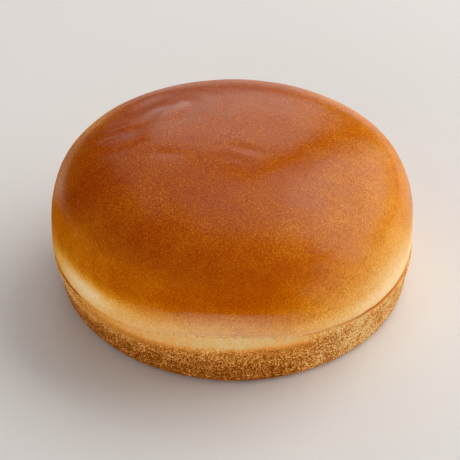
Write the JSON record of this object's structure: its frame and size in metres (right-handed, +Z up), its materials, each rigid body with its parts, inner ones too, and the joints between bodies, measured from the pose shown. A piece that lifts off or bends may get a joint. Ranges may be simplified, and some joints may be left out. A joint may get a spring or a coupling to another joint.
{
  "type": "brioche bun",
  "caption": "Whole uncut round brioche burger bun with a glazed brown dome, a pale band under the lip and a grainy pan-baked wall",
  "frame": {"origin": "middle of the bun's outline, on the flat base that it rests on", "axes": "+Z up through the top of the dome; the crease rises highest on the -Y side, which is the side seen first"},
  "size_m": [0.1018, 0.1024, 0.0474],
  "materials": {
    "crust": "baked brioche crust: soft-gloss egg-washed brown dome, pale cream band by the crease, dry grainy brown wall and base"
  },
  "bodies": {
    "root": {"brioche_bun": "crust"}
  },
  "joints": []
}
